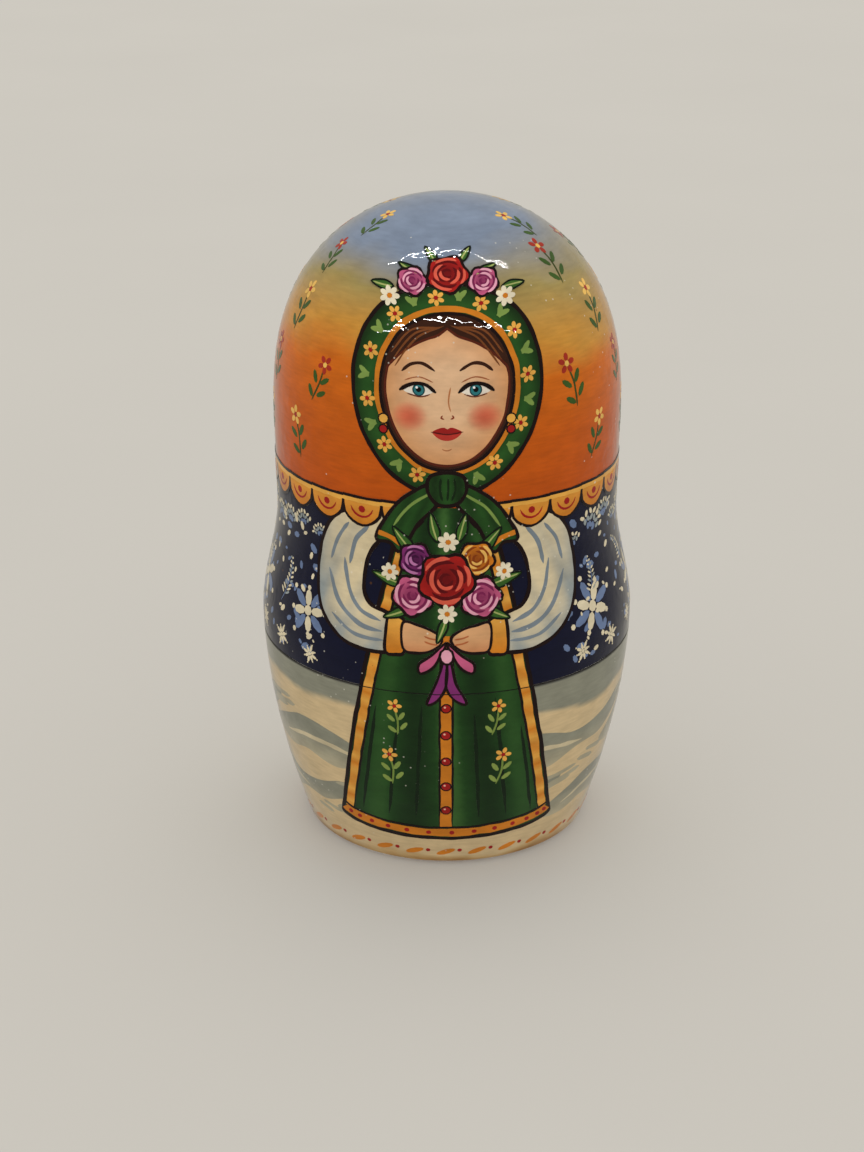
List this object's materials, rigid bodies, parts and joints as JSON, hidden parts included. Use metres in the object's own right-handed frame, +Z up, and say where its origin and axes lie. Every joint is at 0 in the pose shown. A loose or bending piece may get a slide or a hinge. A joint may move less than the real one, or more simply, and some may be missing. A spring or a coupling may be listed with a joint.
{
  "type": "nesting doll",
  "caption": "Turned wooden nesting doll with a gently waisted body and domed head, split at the belly, holding ever smaller dolls one inside another.",
  "frame": {"origin": "centre of the outer doll's flat foot", "axes": "+Z up along the turning axis, painted front towards -Y"},
  "size_m": [0.0638, 0.0638, 0.11],
  "materials": {
    "outer_lower_paint": "hand-painted limewood under gloss lacquer, bare inside",
    "outer_upper_paint": "hand-painted limewood under gloss lacquer, bare inside",
    "second_lower_paint": "hand-painted limewood under gloss lacquer, bare inside",
    "second_upper_paint": "hand-painted limewood under gloss lacquer, bare inside",
    "third_lower_paint": "hand-painted limewood under gloss lacquer, bare inside",
    "third_upper_paint": "hand-painted limewood under gloss lacquer, bare inside",
    "fourth_lower_paint": "hand-painted limewood under gloss lacquer, bare inside",
    "fourth_upper_paint": "hand-painted limewood under gloss lacquer, bare inside",
    "smallest_paint": "hand-painted limewood under gloss lacquer"
  },
  "bodies": {
    "outer_lower": {"outer_lower_half": "outer_lower_paint"},
    "second_lower": {"second_lower_half": "second_lower_paint"},
    "third_lower": {"third_lower_half": "third_lower_paint"},
    "fourth_lower": {"fourth_lower_half": "fourth_lower_paint"},
    "smallest": {"smallest_doll": "smallest_paint"},
    "fourth_upper": {"fourth_upper_half": "fourth_upper_paint"},
    "third_upper": {"third_upper_half": "third_upper_paint"},
    "second_upper": {"second_upper_half": "second_upper_paint"},
    "outer_upper": {"outer_upper_half": "outer_upper_paint"}
  },
  "joints": [
    {"name": "second_doll_out", "type": "slide", "parent": "outer_lower", "child": "second_lower", "axis": [0, 0, 1], "range_m": [0, 0.05]},
    {"name": "third_doll_out", "type": "slide", "parent": "second_lower", "child": "third_lower", "axis": [0, 0, 1], "range_m": [0, 0.04]},
    {"name": "fourth_doll_out", "type": "slide", "parent": "third_lower", "child": "fourth_lower", "axis": [0, 0, 1], "range_m": [0, 0.031]},
    {"name": "smallest_doll_out", "type": "slide", "parent": "fourth_lower", "child": "smallest", "axis": [0, 0, 1], "range_m": [0, 0.025]},
    {"name": "fourth_top_off", "type": "slide", "parent": "smallest", "child": "fourth_upper", "axis": [0, 0, 1], "range_m": [0, 0.033]},
    {"name": "third_top_off", "type": "slide", "parent": "fourth_upper", "child": "third_upper", "axis": [0, 0, 1], "range_m": [0, 0.041]},
    {"name": "second_top_off", "type": "slide", "parent": "third_upper", "child": "second_upper", "axis": [0, 0, 1], "range_m": [0, 0.051]},
    {"name": "outer_top_off", "type": "slide", "parent": "second_upper", "child": "outer_upper", "axis": [0, 0, 1], "range_m": [0, 0.064]}
  ]
}
